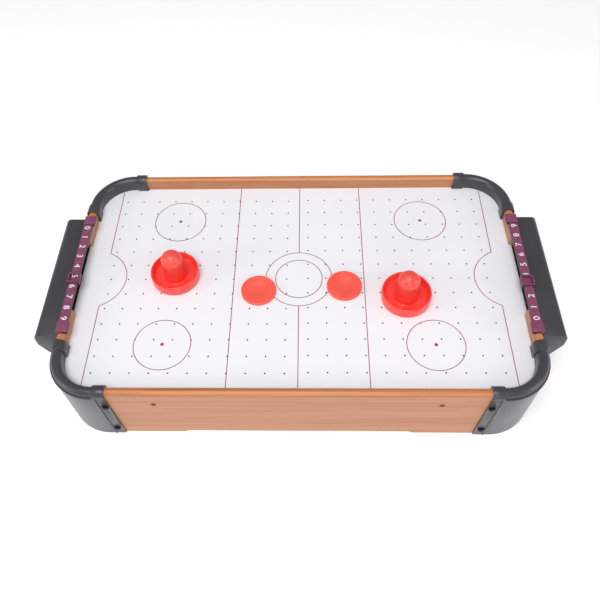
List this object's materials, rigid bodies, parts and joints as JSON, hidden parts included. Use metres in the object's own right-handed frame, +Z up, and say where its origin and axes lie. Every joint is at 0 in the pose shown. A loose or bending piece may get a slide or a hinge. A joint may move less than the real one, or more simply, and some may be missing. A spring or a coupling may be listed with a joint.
{
  "type": "air hockey table",
  "caption": "Tabletop air hockey table with drilled board, wooden rails, plastic corner guards, goal boxes, sliding score cursors, battery fan, strikers and pucks.",
  "frame": {"origin": "centre of the footprint, on the surface the table stands on", "axes": "+X along the length, +Y towards the rear long side with the power switch, +Z up"},
  "size_m": [0.558, 0.31, 0.116],
  "materials": {
    "rail_wood": "printed wood-grain foil, satin",
    "board_white": "smooth white laminate with thin red rink lines",
    "hardboard": "bare hardboard",
    "pine": "bare softwood strip",
    "guard_plastic": "fine-grained moulded plastic",
    "goal_plastic": "fine-grained moulded plastic",
    "track_plastic": "plum moulded plastic, white printed numbers",
    "cursor_plastic": "plum moulded plastic",
    "striker_plastic": "glossy red moulded plastic",
    "knob_plastic": "glossy red moulded plastic",
    "felt": "felt",
    "puck_plastic": "smooth red plastic",
    "black_screw": "blackened steel",
    "brown_screw": "bronzed steel",
    "steel_screw": "zinc-plated steel",
    "fan_plastic": "moulded plastic",
    "motor_steel": "drawn steel",
    "impeller_plastic": "moulded plastic",
    "battery_plastic": "moulded plastic",
    "contact_metal": "nickel-plated spring steel",
    "cell_label": "plain wrapped cell",
    "switch_black": "moulded plastic",
    "switch_red": "moulded plastic",
    "red_lead": "insulated wire",
    "black_lead": "insulated wire"
  },
  "bodies": {
    "table": {"front_panel": "rail_wood", "rear_panel": "rail_wood", "left_end_panel": "rail_wood", "right_end_panel": "rail_wood", "play_board": "board_white", "plenum_floor": "hardboard", "batten_left": "pine", "batten_right": "pine", "ledger_front": "pine", "ledger_rear": "pine", "ledger_left": "pine", "ledger_right": "pine", "corner_guard_front_left": "guard_plastic", "corner_guard_front_right": "guard_plastic", "corner_guard_rear_left": "guard_plastic", "corner_guard_rear_right": "guard_plastic", "goal_box_left": "goal_plastic", "goal_box_right": "goal_plastic", "score_track_left": "track_plastic", "score_track_right": "track_plastic", "corner_screws": "black_screw", "batten_screws": "brown_screw", "floor_screws": "steel_screw", "goal_box_screws": "steel_screw", "fan_screws": "steel_screw", "fan_shroud": "fan_plastic", "fan_grille": "fan_plastic", "fan_motor": "motor_steel", "battery_box": "battery_plastic", "battery_springs": "contact_metal", "battery_contacts": "contact_metal", "battery_cell_1": "cell_label", "battery_cell_2": "cell_label", "battery_cell_3": "cell_label", "battery_cell_4": "cell_label", "battery_cell_5": "cell_label", "battery_cell_6": "cell_label", "switch_housing": "switch_black", "lead_battery_switch": "red_lead", "lead_switch_fan": "red_lead", "lead_battery_fan": "black_lead"},
    "cursor_left": {"score_cursor_left": "cursor_plastic"},
    "cursor_right": {"score_cursor_right": "cursor_plastic"},
    "striker_left": {"striker_left": "striker_plastic", "striker_knob_left": "knob_plastic", "striker_felt_left": "felt"},
    "striker_right": {"striker_right": "striker_plastic", "striker_knob_right": "knob_plastic", "striker_felt_right": "felt"},
    "puck_left": {"puck_left": "puck_plastic"},
    "puck_right": {"puck_right": "puck_plastic"},
    "fan_rotor": {"fan_impeller": "impeller_plastic", "motor_shaft": "motor_steel"},
    "power_rocker": {"switch_rocker": "switch_red"},
    "battery_cover": {"battery_door": "battery_plastic"}
  },
  "joints": [
    {"name": "score_slide_left", "type": "slide", "parent": "table", "child": "cursor_left", "axis": [0, 1, 0], "range_m": [-0.05008, 0.07152]},
    {"name": "score_slide_right", "type": "slide", "parent": "table", "child": "cursor_right", "axis": [0, 1, 0], "range_m": [-0.04487, 0.07673]},
    {"name": "striker_glide_left", "type": "slide", "parent": "table", "child": "striker_left", "axis": [0, 1, 0], "range_m": [-0.119, 0.1108]},
    {"name": "striker_glide_right", "type": "slide", "parent": "table", "child": "striker_right", "axis": [0, 1, 0], "range_m": [-0.0893, 0.1405]},
    {"name": "puck_glide_left", "type": "slide", "parent": "table", "child": "puck_left", "axis": [0, 1, 0], "range_m": [-0.1055, 0.1389]},
    {"name": "puck_glide_right", "type": "slide", "parent": "table", "child": "puck_right", "axis": [0, 1, 0], "range_m": [-0.1117, 0.1327]},
    {"name": "fan_spin", "type": "hinge", "parent": "table", "child": "fan_rotor", "pos_m": [0, 0, 0.04], "axis": [0, 0, 1], "continuous": true},
    {"name": "power_rock", "type": "hinge", "parent": "table", "child": "power_rocker", "pos_m": [0.1, 0.1489, 0.029], "axis": [0, 0, 1], "range_deg": [0, 16]},
    {"name": "battery_cover_slide", "type": "slide", "parent": "table", "child": "battery_cover", "axis": [1, 0, 0], "range_m": [0, 0.055]}
  ]
}
